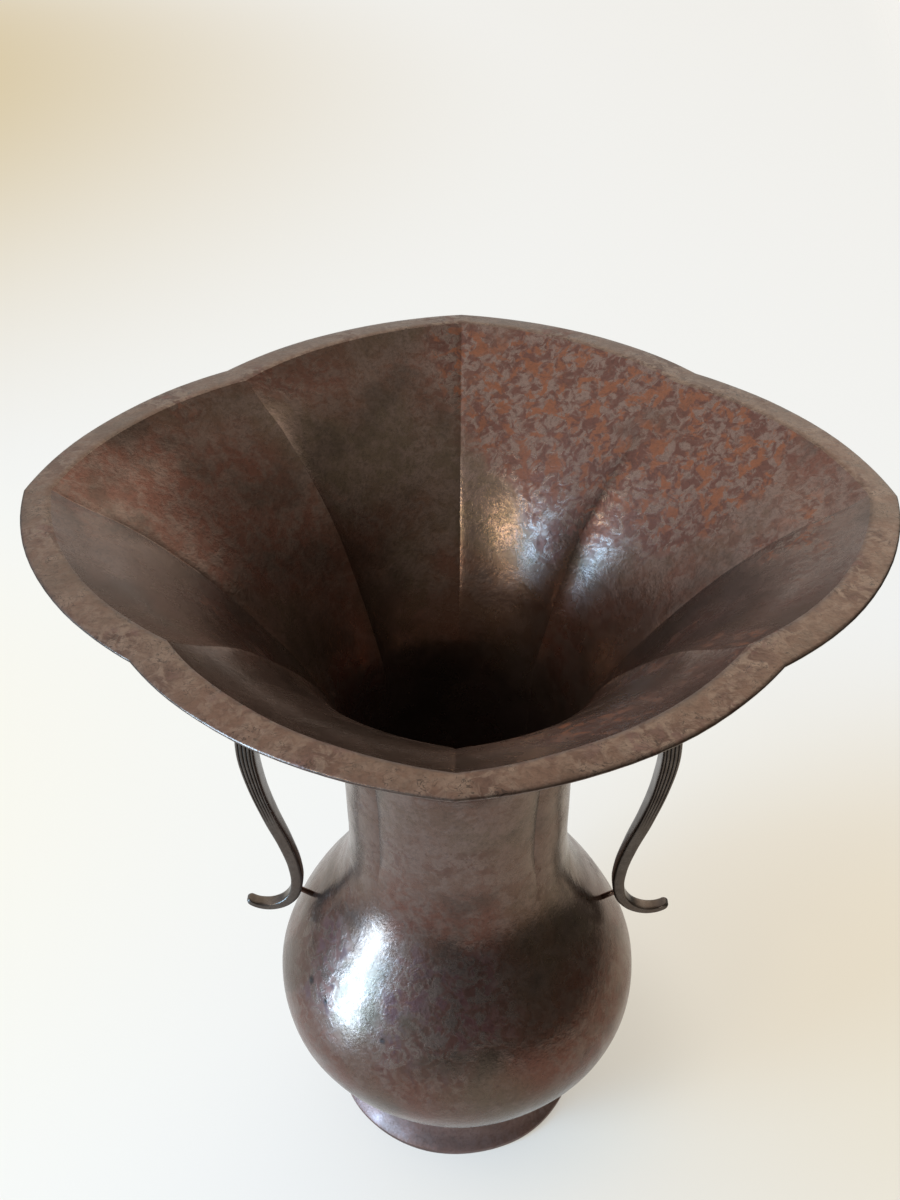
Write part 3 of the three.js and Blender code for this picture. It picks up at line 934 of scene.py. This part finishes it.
ROOM = (0.125, 0.124, 0.11)
BACK = direction(90, 0)
BACK_LEVELS = (0.8, 0.96)  # cosines from the back between which the metal starts to mirror the backdrop
GLOWS = (  # azimuth and elevation, angle where it ends and where it is full, colour and strength
    (0, 90, 74, 15, (1.03, 1.0, 0.92), 0.48),
    (168, 48, 62, 18, (1.0, 1.0, 1.04), 0.95),
    (84, 18, 48, 6, (1.08, 1.0, 0.84), 1.05),
    (60, 30, 30, 8, (1.06, 1.0, 0.92), 0.8),
    (-153, 19, 24, 5, (0.5, 0.85, 1.15), 1.6),
    (-140, 0, 45, 10, (0.8, 0.95, 1.08), 0.9),
)


def room():
    """A dim room at the front and right, pale walls at the back and left, and a window's halo."""
    world = bpy.data.worlds.new("room")
    bpy.context.scene.world = world
    tree = Tree(world)
    towards = tree.node("ShaderNodeTexCoord").outputs["Generated"]
    level = ROOM
    for azimuth, elevation, wide, narrow, tint, strength in GLOWS:
        facing = tree.vectors("DOT_PRODUCT", towards, direction(azimuth, elevation))
        cosines = [math.cos(math.radians(angle)) for angle in (wide, narrow)]
        glow = tree.step(facing, *cosines, 0.0, strength)
        tinted = tree.node("ShaderNodeVectorMath", {0: tint, "Scale": glow}, operation="SCALE").outputs[0]
        level = tree.node("ShaderNodeVectorMath", {0: tinted, 1: level}, operation="ADD").outputs[0]
    ambient = tree.node("ShaderNodeBackground", {"Color": level, "Strength": 1.0})
    backdrop = tree.node("ShaderNodeBackground", {"Color": BACKDROP, "Strength": 1.0})
    ray = tree.node("ShaderNodeLightPath").outputs
    behind = tree.step(tree.vectors("DOT_PRODUCT", towards, BACK), *BACK_LEVELS)
    mirrored = tree.times(tree.most(ray["Is Glossy Ray"], ray["Is Transmission Ray"]), behind)
    seen = tree.most(ray["Is Camera Ray"], mirrored)
    mixed = tree.node("ShaderNodeMixShader", {0: seen, 1: ambient.outputs[0], 2: backdrop.outputs[0]})
    tree.node("ShaderNodeOutputWorld", {"Surface": mixed.outputs[0]})


room()

# Camera, at the photograph's angle
IMAGE_HEIGHT = 1200
FOCAL_PIXELS = 1342
SENSOR = 36
CAMERA_PLACE = (0.00164, -0.33477, 0.46156)
CAMERA_TILT = 54.47
CAMERA_TURN = 0.74
camera_data = bpy.data.cameras.new("camera")
camera_data.sensor_width = SENSOR
camera_data.lens = FOCAL_PIXELS / IMAGE_HEIGHT * SENSOR
camera = bpy.data.objects.new("camera", camera_data)
camera.location = CAMERA_PLACE
camera.rotation_euler = (math.radians(CAMERA_TILT), 0, math.radians(CAMERA_TURN))
bpy.context.scene.collection.objects.link(camera)
bpy.context.scene.camera = camera

bpy.context.scene.view_settings.view_transform = "Standard"
